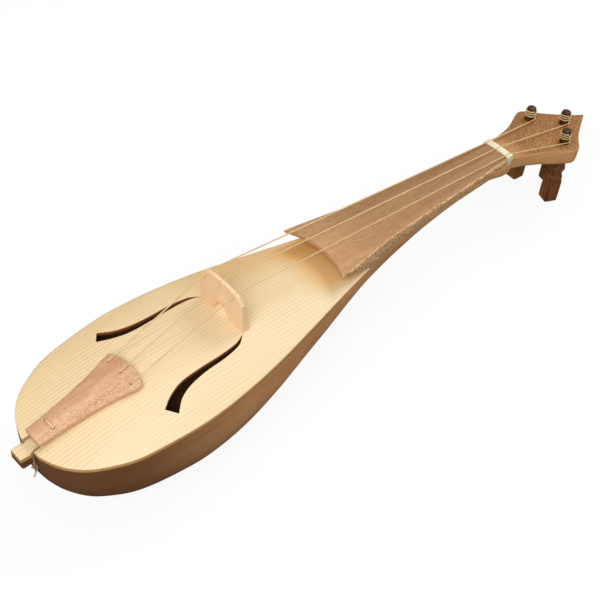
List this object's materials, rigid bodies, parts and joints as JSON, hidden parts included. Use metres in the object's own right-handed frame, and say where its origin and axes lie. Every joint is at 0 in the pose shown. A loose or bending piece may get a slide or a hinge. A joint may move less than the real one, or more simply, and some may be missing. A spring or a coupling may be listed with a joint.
{
  "type": "rebec",
  "caption": "Small bowed lute with a carved pear-shaped bowl, arched soundboard, leaf-shaped head and rear tuning pegs.",
  "frame": {"origin": "centre of the bounding box, at the height of the surface that the instrument rests on", "axes": "+X from the tail stub towards the head, +Y towards the low string's side, +Z out of the soundboard"},
  "size_m": [0.6566, 0.1422, 0.1264],
  "materials": {
    "body_wood": "oiled satin brown hardwood with ray flecks",
    "spruce": "pale straight-grained softwood, matt",
    "tailpiece_wood": "pinkish brown hardwood with ray flecks, satin",
    "fingerboard_wood": "oiled satin brown hardwood",
    "bridge_wood": "pale maple-like wood, bare",
    "peg_wood": "dark red brown hardwood, polished",
    "bone": "polished bone, ivory white",
    "gut": "dried gut, straw yellow, slightly glossy"
  },
  "bodies": {
    "instrument": {"body": "body_wood", "soundboard": "spruce", "saddle": "spruce", "tailpiece": "tailpiece_wood", "tail_gut": "gut", "bridge": "bridge_wood", "fingerboard": "fingerboard_wood", "nut": "bone", "bass_bar": "spruce", "sound_post": "spruce", "string_low": "gut", "string_middle": "gut", "string_high": "gut"},
    "peg_low": {"peg_low": "peg_wood", "winding_low": "gut"},
    "peg_middle": {"peg_middle": "peg_wood", "winding_middle": "gut"},
    "peg_high": {"peg_high": "peg_wood", "winding_high": "gut"}
  },
  "joints": [
    {"name": "peg_low_turn", "type": "hinge", "parent": "instrument", "child": "peg_low", "pos_m": [0.2692, 0.022, 0.06297], "axis": [0.0945, 0, 0.9955], "continuous": true},
    {"name": "peg_middle_turn", "type": "hinge", "parent": "instrument", "child": "peg_middle", "pos_m": [0.29584, 0, 0.05855], "axis": [0.0945, 0, 0.9955], "continuous": true},
    {"name": "peg_high_turn", "type": "hinge", "parent": "instrument", "child": "peg_high", "pos_m": [0.2692, -0.022, 0.06297], "axis": [0.0945, 0, 0.9955], "continuous": true}
  ]
}
